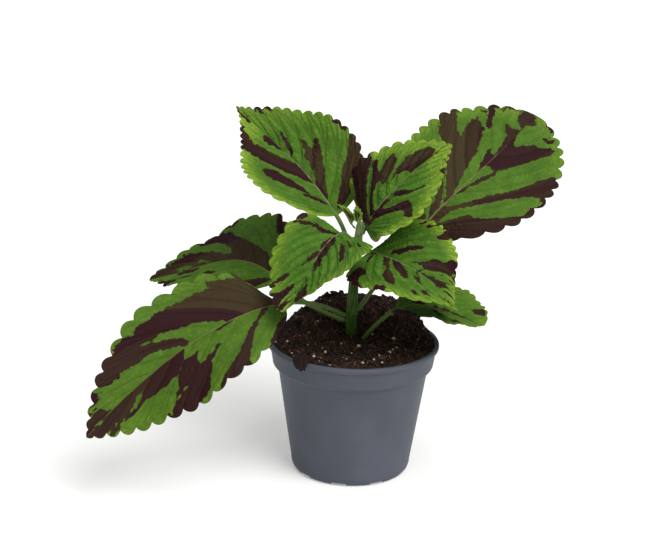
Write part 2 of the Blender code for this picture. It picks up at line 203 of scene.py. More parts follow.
def makePot():
    p = pot
    foot, step, stepZ, low, collar, rim, top = (
        p[key] for key in ("footR", "stepR", "stepZ", "collarLowR", "collarTopR", "rimR", "height"))
    ring, lip, lining = foot - p["footWidth"], top - p["lipHeight"], collar - p["wall"]
    corner = [(foot + (p["baseR"] - foot) * math.sin(a), p["baseCorner"] * (1 - math.cos(a)))
              for a in (math.radians(d) for d in (12, 24, 36, 48, 60, 72, 84, 90))]
    outside = [(0, 0), (p["hubR"], 0), (p["hubR"] + 1, p["footHeight"]), (ring - 1, p["footHeight"]),
               (ring, 0.1), (ring + 0.2, 0), (foot - 0.2, 0), *corner,
               (step - 0.05, stepZ - 0.6), (step + 0.4, stepZ), (step + 2.2, stepZ + 0.6),
               (low - 0.6, stepZ + 1.6), (low - 0.1, stepZ + 2.5), (low, stepZ + 3.3),
               (collar, lip - 0.3), (collar + 0.2, lip + 0.2), (rim - 0.6, lip + 0.8), (rim - 0.1, lip + 1.4),
               (rim, top - 2), (rim - 0.15, top - 1), (rim - 0.5, top - 0.4), (rim - 1, top - 0.08),
               (rim - 1.5, top), (lining + 0.8, top - 0.1), (lining + 0.3, top - 0.5),
               (lining + 0.1, top - 1.2)]
    bm = lathe(outside + insideOfPot() + [(0, p["footHeight"] + p["floor"])], p["steps"])
    shell = addPiece("potShell", bm, [potPlastic()], "pot")
    cutter = makeDrainCutter()
    cut = shell.modifiers.new("drainCuts", "BOOLEAN")
    cut.operation, cut.solver, cut.object = "DIFFERENCE", "EXACT", cutter
    bpy.context.view_layer.update()
    cutMesh = bpy.data.meshes.new_from_object(shell.evaluated_get(bpy.context.evaluated_depsgraph_get()))
    shell.modifiers.clear()
    shell.data = cutMesh
    shell.data.set_sharp_from_angle(angle=math.radians(40))
    bpy.data.objects.remove(cutter)


# notches through the foot ring, and round holes through the floor
def makeDrainCutter():
    p = pot
    bm = bmesh.new()
    for i in range(p["notches"]):
        turn = Matrix.Rotation(math.radians(p["notchTurn"]) + i * fullTurn / p["notches"], 4, "Z")
        size = Matrix.Diagonal((14 * mm, p["notchWidth"] * mm, 2 * p["footHeight"] * mm, 1))
        place = Matrix.Translation(((p["footR"] + 0.5) * mm, 0, 0))
        bmesh.ops.create_cube(bm, size=1, matrix=turn @ place @ size)
    for i in range(p["drains"]):
        turn = Matrix.Rotation((i + 0.5) * fullTurn / p["drains"], 4, "Z")
        place = Matrix.Translation((p["drainCircle"] * mm, 0, (p["footHeight"] + p["floor"] / 2) * mm))
        bmesh.ops.create_cone(bm, cap_ends=True, segments=24, radius1=p["drainR"] * mm,
                              radius2=p["drainR"] * mm, depth=p["floor"] * 3 * mm, matrix=turn @ place)
    return addObject("drainCutter", toMesh(bm, "drainCutter"))


makePot()
print("pot done")


# soil

soil = dict(level=93, outer=55.8, heapHeight=20, heapX=4, heapY=38, heapLong=52, heapShort=30,
            moundHeight=5, moundR=13, crumb=0.7, rings=110, steps=250, lumps=1700, perlite=34, fibres=420)
# perlite grains that show at the front, as x, y and size in mm
perliteSeen = ((3.5, -16, 2.6), (28, 1, 2.7), (13, 0.5, 1.6), (24.5, -25.5, 2.2), (29.5, -12.5, 1.8),
               (13.5, -37, 1.6), (5.5, -45.5, 2.3), (19, -45, 1.5), (-27, -37, 1.8), (-46, -5.5, 1.9),
               (-41, -33, 1.3), (-17, 30, 1.7), (-5, -38.5, 1.5), (-31.5, 4.5, 1.2), (-38.5, 14.5, 1.4),
               (-54, -10, 1.6), (-19.5, -24.5, 1.6), (44, 30, 1.2), (45, 1.5, 1.1), (10, -45.5, 1.2),
               (17.5, -29, 1.3), (27, -15.5, 1.5), (-8.5, -11.5, 1.5))
# dark lumps of peat that stand up from the heap behind the stem
peatSeen = ((-14, 42, 6), (-9, 41, 5), (-19, 40, 5), (-24, 38, 4), (22, 41, 5), (27, 40, 5), (31, 38, 4))


# the soil's surface in mm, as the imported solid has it
def heapHeight(x, y):
    s = soil
    edge = max(0.0, 1 - (math.hypot(x, y) / pot["collarTopR"]) ** 14)
    heap = math.exp(-(((x - s["heapX"]) / s["heapLong"]) ** 4) - ((y - s["heapY"]) / s["heapShort"]) ** 4)
    mound = s["moundHeight"] * math.exp(-(x * x + y * y) / s["moundR"] ** 2)
    crumbs = math.sin(0.83 * x + 1.9 * math.sin(0.31 * y)) * math.sin(0.71 * y + 1.3 * math.sin(0.47 * x))
    crumbs += 0.6 * math.sin(1.7 * x + 0.6 * y) * math.sin(1.1 * y - 0.9 * x + 1)
    return s["level"] + edge * s["heapHeight"] * heap + mound + s["crumb"] * crumbs * (0.4 + 0.6 * edge)


# the same surface with the peat's loose crumbs on it
def crumblyHeight(x, y):
    edge = max(0.0, 1 - (math.hypot(x, y) / soil["outer"]) ** 10)
    coarse = noise.fractal(Vector((x, y, 3)) / 6.5, 0.9, 2.1, 3)
    fine = noise.turbulence(Vector((x, y, 9)) / 2.4, 3, True)
    return heapHeight(x, y) + (1.1 * coarse + 1.7 * (fine - 0.4)) * (0.25 + 0.75 * edge)


# moist sphagnum peat: near black in the hollows, red-brown where fibres catch the light
def peat():
    material, node = newMaterial("moistPeat")
    place = node("TexCoord", out="Object")
    turned = node("Mapping", {"Vector": place, "Scale": (1, 0.35, 1), "Rotation": (0, 0, 0.7)})
    grit = node("TexVoronoi", {"Vector": place, "Scale": 1 / (1.3 * mm)})
    gritty = node("MapRange", {0: grit, 1: 0.22, 2: 0.05, 4: 0.7}, **eased)
    _, dark = mottled(node, place, 6, 6, (0.38, 0.68), "0e0907", "35211a", Roughness=0.7)
    fibre, brown = mottled(node, turned, 0.8, 4, (0.56, 0.76), dark, "6d432d", Distortion=1.5)
    colour = node("Mix", {0: gritty, 6: brown, 7: "554033"}, **mixed)
    bump = node("Bump", {"Height": fibre, "Strength": 0.9, "Distance": 0.7 * mm})
    return setShader(material, {"Base Color": colour, "Normal": bump, "Roughness": 0.92, "IOR": 1.35})


# peat strands and fine roots: dry, pale brown to red-brown
def strandFibre():
    material, node = newMaterial("peatFibre")
    place = node("TexCoord", out="Object")
    _, colour = mottled(node, place, 5, 2, (0.35, 0.65), "3f2618", "8a6144")
    return setShader(material, {"Base Color": colour, "Roughness": 0.85})


# expanded perlite: white volcanic glass foam, chalky, pitted and stained by the peat
def perliteGlass():
    material, node = newMaterial("expandedPerlite")
    place = node("TexCoord", out="Object")
    pits = node("TexVoronoi", {"Vector": place, "Scale": 1 / (0.5 * mm)})
    _, colour = mottled(node, place, 2, 3, (0.4, 0.65), "ebe2d2", "a8937c")
    bump = node("Bump", {"Height": pits, "Strength": 0.8, "Distance": 0.3 * mm})
    return setShader(material, {"Base Color": colour, "Normal": bump, "Roughness": 0.95})


# a small uneven grain half sunk in the surface
def addLump(bm, rng, x, y, size, sink, subdivisions=1):
    place = Vector((x, y, crumblyHeight(x, y) + size * (0.5 - sink))) * mm
    turn = Matrix.Rotation(rng.uniform(0, 6.28), 4, Vector(rng.normal(size=3)).normalized())
    scale = Matrix.Diagonal((*(rng.uniform(0.65, 1.25, 3) * size * 0.5 * mm), 1))
    made = bmesh.ops.create_icosphere(bm, subdivisions=subdivisions, radius=1,
                                      matrix=Matrix.Translation(place) @ turn @ scale)["verts"]
    for vert in made:
        vert.co += Vector(rng.normal(size=3)) * 0.09 * size * mm


# a random place on the soil, at least this far in from its edge
def anySpot(rng, inset):
    r, turn = (soil["outer"] - inset) * math.sqrt(rng.uniform()), rng.uniform(0, fullTurn)
    return r * math.cos(turn), r * math.sin(turn)


def makeSoil():
    s = soil
    rng = np.random.default_rng(7)
    top = [(s["outer"] * i / s["rings"], s["level"]) for i in range(1, s["rings"] + 1)]
    floor = [(0, pot["footHeight"] + pot["floor"] + 0.3)]
    bm = lathe([(0, s["level"])] + top + insideOfPot(0.3) + floor, s["steps"])
    for vert in bm.verts:
        if vert.co.z > (s["level"] - 0.01) * mm:
            vert.co.z = crumblyHeight(vert.co.x / mm, vert.co.y / mm) * mm
    addPiece("peatSoil", bm, [peat()], "soil")

    bm = bmesh.new()
    for _ in range(s["lumps"]):
        addLump(bm, rng, *anySpot(rng, 1.5), 0.8 + 2.2 * rng.uniform() ** 3, 0.45)
    for x, y, size in peatSeen:
        addLump(bm, rng, x, y, size, 0.5, 3)
    addPiece("peatCrumbs", bm, [bpy.data.materials["moistPeat"]])

    bm = bmesh.new()
    for x, y, size in perliteSeen:
        addLump(bm, rng, x, y, size * 1.15, 0.25, 2)
    for _ in range(s["perlite"]):
        addLump(bm, rng, *anySpot(rng, 2), 0.5 + 1.1 * rng.uniform() ** 2, 0.3, 2)
    addPiece("perliteGrains", bm, [perliteGlass()])

    bm = bmesh.new()
    for _ in range(s["fibres"]):
        x, y = anySpot(rng, 3)
        heading = rng.uniform(0, fullTurn)
        length, bend = 3 + 9 * rng.uniform() ** 2, rng.normal(0, 0.25)
        line = []
        for k in range(7):
            height = crumblyHeight(x, y) + 0.15 + 0.9 * math.sin(math.pi * k / 6) * rng.uniform(0, 1)
            line.append((x, y, height))
            heading += bend
            x, y = x + math.cos(heading) * length / 6, y + math.sin(heading) * length / 6
            if math.hypot(x, y) > s["outer"] - 1:
                break
        if len(line) > 3:
            radii = np.full(len(line), rng.uniform(0.1, 0.26))
            radii[0] = radii[-1] = 0
            addTube(bm, line, radii, sides=4)
    bmesh.ops.recalc_face_normals(bm, faces=bm.faces)
    addPiece("peatFibres", bm, [strandFibre()])


makeSoil()
print("soil done")


# bark flake

barkFlake = dict(heading=231, width=16, thick=1.4,
                 bend=((52.5, 96.4), (56.5, 96), (60, 95.2), (61.3, 93.4), (61.7, 91.8), (61.9, 90.6)))


# composted conifer bark: red-brown layers, dark and ridged along the grain
def coniferBark():
    material, node = newMaterial("compostedBark")
    place = node("TexCoord", out="Object")
    along = node("Mapping", {"Vector": place, "Scale": (1, 1, 0.3)})
    grain, colour = mottled(node, along, 1.5, 5, (0.35, 0.65), "120a08", "2a1a16")
    bump = node("Bump", {"Height": grain, "Strength": 0.8, "Distance": 0.4 * mm})
    return setShader(material, {"Base Color": colour, "Normal": bump, "Roughness": 0.85,
                                "Specular IOR Level": 0.25})


def makeBark():
    b = barkFlake
    rows, columns = 30, 16
    bm = bmesh.new()
    bmesh.ops.create_grid(bm, x_segments=columns, y_segments=rows, size=0.5)
    steps = np.arange(len(b["bend"]))
    for vert in bm.verts:
        row = (vert.co.y + 0.5) * (len(b["bend"]) - 1)
        r, z = (np.interp(row, steps, [p[k] for p in b["bend"]]) for k in (0, 1))
        ragged = 1 + 0.08 * noise.noise(Vector((vert.co.x * 3, row, 2)))
        across = vert.co.x * b["width"] * (1 - 0.11 * row) * ragged + 0.8 * row
        turn = math.radians(b["heading"]) + across / r
        z += 0.5 * math.sin(9 * vert.co.x + row) + 0.5 * noise.noise(Vector((vert.co.x * 9, row * 1.3, 5)))
        vert.co = Vector((r * math.cos(turn), r * math.sin(turn), z)) * mm
    bmesh.ops.solidify(bm, geom=list(bm.faces), thickness=b["thick"] * mm)
    bmesh.ops.recalc_face_normals(bm, faces=bm.faces)
    addPiece("barkFlake", bm, [coniferBark()], "bark_flake", smoothAngle=50)


makeBark()
print("bark done")


# stem

stem = dict(half=3.4, footZ=64, topZ=177, turn=35, rows=110, hairs=1800, joints=(113, 146, 157.5, 166),
            leanZ=(60, 113, 150, 172, 185), leanX=(-2, -1.8, -0.6, 1.6, 3.2))


def stemCentre(z):
    return np.interp(z, stem["leanZ"], stem["leanX"])


def stemRadius(z, heading):
    turn = heading - math.radians(stem["turn"])
    corner = (np.abs(np.cos(turn)) ** 3 + np.abs(np.sin(turn)) ** 3) ** (-1 / 3)
    return stem["half"] * corner * (1 - 0.3 * np.maximum(0.0, (z - 120) / (stem["topZ"] - 120)))


# a young coleus stem: fleshy, green, flushed with purple, with a bloom of fine hairs
def stemSkin():
    material, node = newMaterial("fleshyStem")
    place = node("TexCoord", out="Object")
    height = node("SeparateXYZ", {0: place}, out=2)
    drawn = node("Mapping", {"Vector": place, "Scale": (1, 1, 0.15)})
    streak = node("TexNoise", {"Vector": drawn, "Scale": 1 / (1.2 * mm), "Detail": 3})
    streaked = node("MapRange", {0: streak, 1: 0.4, 2: 0.65}, **eased)
    # paler and greyer towards the tip, where the hairs are thickest; lower down the green is darker, partly
    # the stem's own colour and partly painted shade from the leaves above
    young = node("MapRange", {0: height, 1: 135 * mm, 2: 170 * mm}, **eased)
    low = node("Mix", {0: streaked, 6: "28470b", 7: "3d6512"}, **mixed)
    high = node("Mix", {0: streaked, 6: "4d6a2c", 7: "7f925c"}, **mixed)
    green = node("Mix", {0: young, 6: low, 7: high}, **mixed)
    _, colour = mottled(node, place, 9, 2, (0.55, 0.8), green, "3a2a1b")
    bump = node("Bump", {"Height": streak, "Strength": 0.5, "Distance": 0.2 * mm})
    return setShader(material, {"Base Color": colour, "Normal": bump, "Roughness": 0.5, "IOR": 1.4,
                                "Specular IOR Level": 0.2})


# fine clear hairs, which show as pale fuzz
def plantHair():
    material, node = newMaterial("clearHair")
    place = node("TexCoord", out="Object")
    tint = node("TexNoise", {"Vector": place, "Scale": 1 / (4 * mm)})
    colour = node("Mix", {0: tint, 6: "8c9a68", 7: "b9bb9f"}, **mixed)
    return setShader(material, {"Base Color": colour, "Roughness": 0.4})


# a three-sided spike, in mm
def addHair(bm, place, out, length, slot):
    turn = Vector(out).to_track_quat("Z", "Y").to_matrix().to_4x4()
    root, ahead = Matrix.Translation(Vector(place) * mm), Matrix.Translation((0, 0, length * 0.45 * mm))
    made = bmesh.ops.create_cone(bm, cap_ends=True, segments=3, radius1=0.05 * mm, radius2=0,
                                 depth=length * mm, matrix=root @ turn @ ahead)["verts"]
    setSlot(made, slot)


def makeStem():
    s = stem
    rng = np.random.default_rng(3)
    dome = s["topZ"] + np.array([0.8, 1.5, 2.2, 3.0, 3.4, 3.6])
    heights = np.concatenate([np.linspace(s["footZ"], s["topZ"], s["rows"]), dome])
    taper = np.concatenate([np.ones(s["rows"]), [0.92, 0.8, 0.62, 0.4, 0.2, 0]])
    taper[0] = 0
    line = np.stack([stemCentre(heights), 0 * heights, heights], -1)
    swell = sum(0.09 * np.exp(-((heights - z) / 3) ** 2) for z in s["joints"])

    def outline(turn, row):
        groove = 1 - 0.05 * math.cos(2 * (turn - math.radians(s["turn"]))) ** 8
        return stemRadius(heights[row], turn) * groove / s["half"]

    bm = bmesh.new()
    across = np.tile([1.0, 0, 0], (len(line), 1))
    addTube(bm, line, s["half"] * taper * (1 + swell), 36, across, outline)
    bmesh.ops.recalc_face_normals(bm, faces=bm.faces)
    for _ in range(s["hairs"]):
        z = rng.uniform(98, s["topZ"] + 2) if rng.uniform() < 0.15 else rng.uniform(145, s["topZ"] + 2)
        turn = rng.uniform(0, fullTurn)
        radius = stemRadius(min(z, s["topZ"]), turn) * (0.98 if z < s["topZ"] else 0.8)
        place = np.array([stemCentre(z) + radius * math.cos(turn), radius * math.sin(turn), z])
        out = np.array([math.cos(turn), math.sin(turn), 0.2]) + rng.normal(0, 0.25, 3)
        addHair(bm, place, out, rng.uniform(0.5, 1.2), 1)
    addPiece("squareStem", bm, [stemSkin(), plantHair()], "stem")


makeStem()
print("stem done")


# leaves

blade = dict(cell=0.75, thick=0.5, petioleThick=3.2, rowMidrib=0.75, rowMargin=1.43, toothDepth=0.5,
             mostTooth=5.0, veinGroove=0.4, netSpacing=3.2,
             veinGap=0.105, youngVeinGap=0.2, mapSize=200)

leaves = {
    "leaf_a": dict(
        node=112, petiole=58, length=162, width=83, teeth=14, rise=(31, 1, -34, -29),
        heading=(215, 215, 200, 232), roll=(-6, -48), fold=(3, 24), curl=(-20, 7), belly=0.56, point=0.89,
        skew=0.04, ruffle=2.0, reach=(0.30, 0.36), young=0.0, lime=(0.15, 0.1)),
    "leaf_b": dict(
        node=106.5, petiole=62, length=128, width=85, teeth=13, rise=(6, 31, -20, -12),
        heading=(147, 142, 141, 180), roll=(-26, 9), fold=(3, 22), curl=(-23, 3), belly=0.57, point=0.75,
        skew=-0.12, ruffle=1.5, reach=(0.45, 0.45), young=0.2, lime=(0.1, 0.1), mottle=(0.7, 0.5)),
    "leaf_c": dict(
        node=146, petiole=38, length=120, width=88, teeth=18, rise=(64, 46, 23, 48),
        heading=(108, 140, 130, 175), roll=(-7, -18), fold=(13, 28), curl=(-8, 8), belly=0.64, point=1.04,
        skew=0, ruffle=1.0, reach=(0.42, 0.38), young=0.6, lime=(1.0, 0.35), mottle=(0.8, 0.5)),
    "leaf_d": dict(
        node=166, petiole=16, length=82, width=67, teeth=12, rise=(45, 16, -43, -9),
        heading=(222, 242, 235, 243), roll=(-19, 32), fold=(15, 24), curl=(-9, -2), belly=0.44, point=0.67,
        skew=0.1, ruffle=1.0, reach=(0.45, 0.45), young=0.9, lime=(0.5, 0.7), mottle=(0.56, 0.9)),
    "leaf_e": dict(
        node=170, petiole=4.7, length=85, width=71, teeth=12, rise=(62, 65, 41, 25),
        heading=(55, -21, 22, 12), roll=(37, 39), fold=(10, 19), curl=(-12, -1), belly=0.33, point=0.88,
        skew=-0.02, ruffle=1.0, reach=(0.45, 0.45), young=0.9, lime=(0.8, 1.0), mottle=(0.72, 0.7)),
    "leaf_f": dict(
        node=157.5, petiole=8.5, length=83, width=79, teeth=15, rise=(40, 2, -15, -66),
        heading=(326, 313, 321, 377), roll=(18, -4), fold=(22, 6), curl=(3, -16), belly=0.43, point=0.69,
        skew=-0.01, ruffle=1.0, reach=(0.45, 0.45), young=0.8, lime=(1.0, 0.55), mottle=(0.42, 0.8)),
    "leaf_g": dict(
        node=113, petiole=73, length=141, width=109, teeth=14, rise=(38, 47, 24, 34),
        heading=(49, 27, 47, 45), roll=(38, 31), fold=(-3, 11), curl=(-7, 2), belly=0.6, point=0.57,
        skew=0.02, ruffle=1.5, reach=(0.56, 0.56), young=0.3, lime=(0.4, 0.3)),
    "leaf_h": dict(
        node=93, out=7.5, petiole=35, length=68, width=62, teeth=12, rise=(55, 41, -11, -6),
        heading=(329, 346, 345, 340), roll=(6, -5), fold=(15, 9), curl=(3, -4), belly=0.51, point=0.45,
        skew=0.01, ruffle=1.0, reach=(0.45, 0.45), young=0.4, lime=(0.3, 0.3)),
    "young_leaf_left": dict(
        node=175, petiole=3, length=17, width=12, teeth=5, rise=(45, 52, 50, 35),
        heading=(165, 158, 152, 150), roll=(10, 10), fold=(25, 25), curl=(0, 0), belly=0.5, point=0.8, skew=0,
        ruffle=0.2, reach=(0.4, 0.4), young=1.0, lime=(0.6, 0.6)),
    "young_leaf_back": dict(
        node=176, petiole=2.5, length=11, width=7.5, teeth=4, rise=(60, 72, 70, 62),
        heading=(110, 110, 112, 115), roll=(0, 0), fold=(20, 20), curl=(0, 0), belly=0.5, point=0.7, skew=0,
        ruffle=0.1, reach=(0.4, 0.4), young=1.0, lime=(0.6, 0.6)),
}

# The burgundy marks of each leaf, on its left and right half. A mark is a run of (out, low, high): that far
# out from the midrib to the margin, from 0 to 10, it lies between two side veins, each given by where it
# leaves the midrib, in hundredths. The green runs cut islands and lobes back out of the marks, and in the
# olive runs the burgundy is browner.
marks = {
    "leaf_a": dict(
        left=[[(0, 5, 9), (4, 6, 9), (6.5, 3, 7), (8, 1, 8), (9.2, -1, 10), (10, -4, 9)],
            [(7.3, -22, -17), (8.6, -25, -14), (10, -28, -13)], [(0, 18, 26), (0.6, 24, 30), (1, 29, 31)],
            [(0, 46, 100), (2.3, 43, 100), (4.2, 41, 100), (5.2, 46, 100), (5.6, 56, 100), (7.5, 59, 100),
            (8.3, 64, 100), (10, 65, 100)], [(2.4, 35, 43), (4, 32, 41), (5.2, 29, 39)],
            [(3.3, 22, 24), (4.8, 22, 27), (5.2, 22, 38), (7, 19, 36), (8.6, 16, 31), (10, 18, 32)]],
        leftGreen=[[(3, 63, 65), (4.7, 62, 66), (6.3, 60, 63)], [(6.9, 29, 31), (7.5, 31, 33), (8.2, 31, 34)],
            [(0, 88, 91), (3, 89, 92)], [(0.8, 93, 100), (5, 92, 98)]],
        right=[[(0, -36, 25), (2.5, -36, 29), (6.5, -36, 34), (7.3, 8, 36), (8.6, 23, 38), (10, 30, 40)],
            [(6, -36, 3), (7.4, -36, 0), (8.6, -31, -6)], [(8, -26, -20), (10, -24, -21)],
            [(0.3, 42, 45), (2, 39, 45), (4, 38, 46), (6, 36, 49), (8, 35, 54), (10, 34, 47)],
            [(8.8, 54, 60), (10, 50, 60)], [(1, 84, 100), (5, 78, 100), (8, 68, 100), (10, 64, 100)]],
        rightGreen=[[(0.6, 87, 100), (6, 88, 99)]],
        rightOlive=[[(0, -36, 17), (5, -36, 16), (10, -36, 14)]]),
    "leaf_b": dict(
        left=[[(4.8, 20, 28), (6, 18, 26)], [(2.5, 55, 80), (4, 46, 72), (5.4, 42, 66)],
            [(6.8, 24, 30), (7.6, 28, 50), (9.2, 45, 62), (10, 40, 64)],
            [(1.5, -12, -2), (3.5, -30, -8), (5.5, -34, -12), (8, -38, -20)]],
        right=[[(0, 6, 100), (2.7, 8, 100), (3.2, 16, 100), (4, 22, 100), (6, 25, 100), (8, 21, 100),
            (10, 22, 100)], [(6.2, -18, -13), (7.5, -26, -13), (9, -27, -15), (10, -24, -17)],
            [(9.2, 11, 17), (10, 10, 18)]],
        rightGreen=[[(1.8, 38, 42), (3.7, 37, 46), (5, 36, 47), (7.5, 33, 49), (8.2, 36, 49), (10, 36, 49)],
            [(9, 50, 58), (10, 50, 60)], [(9, 62, 70), (10, 61, 72)], [(0.3, 56, 60), (3.2, 60, 64)],
            [(1, 70, 80), (5, 68, 74)]],
        rightOlive=[[(0, 0, 100), (5, 0, 100)]]),
    "leaf_c": dict(
        left=[[(0, 24, 44), (3.5, 25, 46), (6, 27, 46), (7.8, 27, 45), (8.6, 27, 53), (10, 27, 56)],
            [(2.4, 9, 13), (3.4, 8, 18), (5, 7, 23), (6.3, 8, 21), (7.2, 12, 16)],
            [(0.4, 6, 9), (1.5, 5, 10), (3, 2, 8), (4, 3, 5)],
            [(0, 56, 73), (1.7, 56, 72), (3.6, 55, 66), (4.5, 59, 61)],
            [(1.5, 84, 100), (6, 76, 100), (10, 72, 100)]],
        right=[[(0, 10, 24), (0.8, 11, 26), (1.4, 16, 32), (2.2, 20, 37), (3.5, 21, 40), (4.3, 23, 40)],
            [(4.2, 33, 40), (5.1, 38, 40)], [(4.2, 23, 31), (6, 25, 27)],
            [(1, -4, 1), (3, -30, 3), (5, -26, 4), (7.5, -17, 2), (10, -18, 0)],
            [(0, 48, 50), (2, 50, 56), (3.2, 52, 58), (5, 54, 57)], [(8.4, 56, 62), (10, 55, 65)],
            [(9, 47, 51), (10, 46, 53)], [(9.4, 3, 11), (10, 2, 12)], [(2, 86, 100), (10, 84, 100)]],
        rightOlive=[[(0.6, 12, 42), (4.4, 20, 42)], [(4.6, -30, 5), (10, -20, 3)]]),
    "leaf_d": dict(
        left=[[(0, 14, 36), (0.5, 14, 47), (1.5, 16, 48), (2, 36, 50), (2.7, 48, 52)],
            [(0, 53, 74), (0.4, 56, 72)], [(3.2, 11, 14), (4.5, 10, 17), (6.3, 12, 17), (7.3, 14, 16)],
            [(3.9, 4, 7), (6, 1, 5)], [(6, -14, -8), (7.5, -15, -9)],
            [(2.5, 62, 70), (5, 58, 76), (8.2, 54, 72), (10, 56, 70)]],
        right=[[(0, 8, 11), (2, 7, 11), (3.9, 3, 6), (5.3, -7, -2)],
            [(5.2, -9, -2), (6.6, -15, -8), (8.6, -20, -16), (9.4, -20, -17)],
            [(8.5, -27, -22), (10, -29, -22)], [(9.3, -34, -30), (10, -34, -29)],
            [(0, 16, 33), (0.7, 22, 31), (1, 23, 26)], [(0, 32, 37), (1, 35, 42), (2, 39, 44), (2.9, 42, 45)],
            [(5.4, 41, 45), (7, 36, 42), (8.4, 34, 38), (9.2, 32, 39), (10, 30, 40)],
            [(3.5, 60, 66), (4.8, 60, 88), (6.7, 56, 88), (8.5, 50, 88), (10, 43, 86)]],
        rightGreen=[[(5, 70, 74), (8, 65, 72)]]),
    "leaf_e": dict(
        left=[[(0, -20, 8), (2, -36, 7), (4.6, -33, 8), (7, -26, 6), (8.6, -20, 7), (10, -18, 4)],
            [(0, 9, 16), (3, 12, 16), (5, 13, 22), (6.5, 11, 17), (8.5, 7, 11)],
            [(3, 26, 32), (4.5, 22, 35), (5.7, 20, 36), (7, 22, 31), (8.2, 25, 27)], [(0, 59, 84),
            (2.2, 53, 82), (3, 37, 80), (4.5, 39, 78), (5.8, 44, 76), (7, 50, 70), (7.8, 50, 58)],
            [(1.8, 33, 36), (3, 37, 42)]],
        right=[[(0, 17, 30), (1, 21, 29), (1.9, 26, 29)],
            [(1, 34, 37), (2.7, 29, 36), (4.7, 25, 31), (6.3, 26, 31), (7.1, 27, 30)], [(0.3, 2, 18),
            (1, 0, 20), (2.6, 5, 18), (3.4, 10, 18), (4.5, 9, 20), (6, 8, 17), (6.8, 4, 11), (7.6, -3, 6),
            (8.9, -8, -5)], [(0.5, -12, 4), (2.4, -5, 5)], [(8, 58, 63), (9.4, 49, 55)],
            [(9, 37, 43), (10, 32, 40)]],
        leftOlive=[[(3, 20, 80), (10, 18, 80)]]),
    "leaf_f": dict(
        left=[[(0.8, 18, 22), (1.3, 18, 27), (3, 18, 26), (4.4, 19, 26), (5.3, 20, 23)],
            [(8.3, -7, -3), (9.2, -9, -2), (10, -8, -4)], [(8, 9, 12), (8.8, 5, 12), (10, 2, 9)],
            [(8.8, -18, -14), (10, -20, -16)], [(1.3, 39, 42), (2.2, 43, 51), (3, 43, 58), (4.6, 40, 57),
            (7.2, 37, 51), (8.6, 33, 46), (10, 30, 42)], [(8.6, 48, 56), (9.4, 44, 60), (10, 42, 60)],
            [(0, 53, 78), (0.8, 58, 78), (1.8, 63, 78), (3.4, 66, 77), (6, 69, 74)]],
        right=[[(0.2, 17, 26), (2.4, 21, 28), (3.6, 24, 27), (5, 21, 29), (6.3, 18, 27), (7.8, 19, 22)],
            [(0, 27, 36), (0.8, 29, 41), (2, 32, 44), (3.5, 34, 43), (5, 36, 39)],
            [(5.6, -8, 2), (6.6, -20, 3), (8, -24, -7), (9.2, -24, -8), (10, -22, -3)],
            [(8.8, 7, 13), (10, 3, 9)], [(7.4, 31, 35), (8.6, 31, 35)], [(2.9, 49, 53), (6.3, 43, 47)],
            [(6, 49, 53), (7.4, 56, 62), (8.4, 60, 68)], [(6.8, 43, 47), (8.4, 38, 44)],
            [(0, 3, 10), (2, 2, 6), (4, 0, 4)]]),
    "leaf_g": dict(
        left=[[(0, 20, 26), (0.7, 23, 33), (1.7, 24, 43), (2.8, 25, 51), (4.5, 24, 55), (5.9, 21, 56)],
            [(5.8, 21, 36), (7, 17, 31), (8.4, 12, 28), (10, 9, 24)],
            [(5.8, 36, 56), (7, 38, 52), (8.4, 42, 46)], [(0, 45, 62), (0.9, 52, 61), (1.8, 59, 62)],
            [(0, 61, 95), (0.6, 68, 86), (2, 75, 84), (3.5, 74, 79), (5, 74, 76)],
            [(5.4, 59, 62), (7, 56, 61), (9, 52, 59), (10, 50, 60)], [(8.8, 46, 50), (9.3, 46, 52)],
            [(9.3, 66, 76), (10, 64, 78)], [(0, 88, 100), (5, 85, 100), (10, 84, 98)],
            [(0, -10, 6), (3, -20, 5)], [(0.2, 8, 17), (1.2, 10, 21), (2.4, 19, 22)],
            [(2.7, 21, 24), (3.6, 20, 24)], [(4, 20, 25), (4.9, 19, 22)], [(5.8, 16, 20), (6.7, 14, 17)]],
        leftOlive=[[(0, -20, 40), (10, -30, 40)]],
        rightOlive=[[(0, -20, 22), (3, -20, 20)]],
        right=[[(0, -56, 8), (1.6, -56, 3), (4, -56, 6), (5.8, -56, -6), (8.3, -56, -12), (9, -56, -12),
            (9.6, -56, -4), (10, -56, 14)], [(0, 11, 17), (1, 14, 19), (3.5, 16, 24), (6, 14, 24),
            (7.7, 11, 26), (9.2, 3, 24), (10, -4, 16)],
            [(0, 20, 30), (0.4, 30, 36), (0.9, 36, 44), (2.2, 44, 49)], [(0, 54, 84), (1, 52, 76),
            (1.8, 48, 72), (4.2, 51, 71), (5.9, 51, 68), (7, 49, 61), (8.3, 46, 54), (9.2, 49, 52)],
            [(7.4, 66, 72), (8.9, 58, 62), (9.3, 58, 66)], [(9.3, 68, 76), (10, 66, 78)],
            [(0, 91, 100), (7, 88, 98)], [(0, -56, 20), (0.9, -56, 19), (1.6, -30, 17)]]),
    "leaf_h": dict(
        left=[[(0, -44, -26), (8, -44, -30)], [(0, 30, 38), (1, 20, 30), (2.3, 8, 14)],
            [(0, 42, 84), (0.6, 44, 84)], [(5.4, 66, 74), (7, 62, 80), (9.3, 62, 80)]],
        right=[[(1, -34, -8), (10, -38, -4)], [(3.5, 30, 36), (6.8, 34, 42), (9, 37, 60)],
            [(0, 40, 86), (1.5, 46, 86)]]),
    "young_leaf_left": dict(
        left=[[(0, 10, 60), (5, 20, 55), (8, 30, 50)]],
        right=[[(0, 0, 70), (6, 10, 60)]]),
    "young_leaf_back": dict(
        left=[[(0, 0, 70), (6, 10, 60)]],
        right=[[(0, 10, 60), (5, 20, 55)]]),
}


def direction(rise, heading):
    e, h = np.radians(rise), np.radians(heading)
    return np.stack([np.cos(e) * np.cos(h), np.cos(e) * np.sin(h), np.sin(e) + 0 * h], -1)


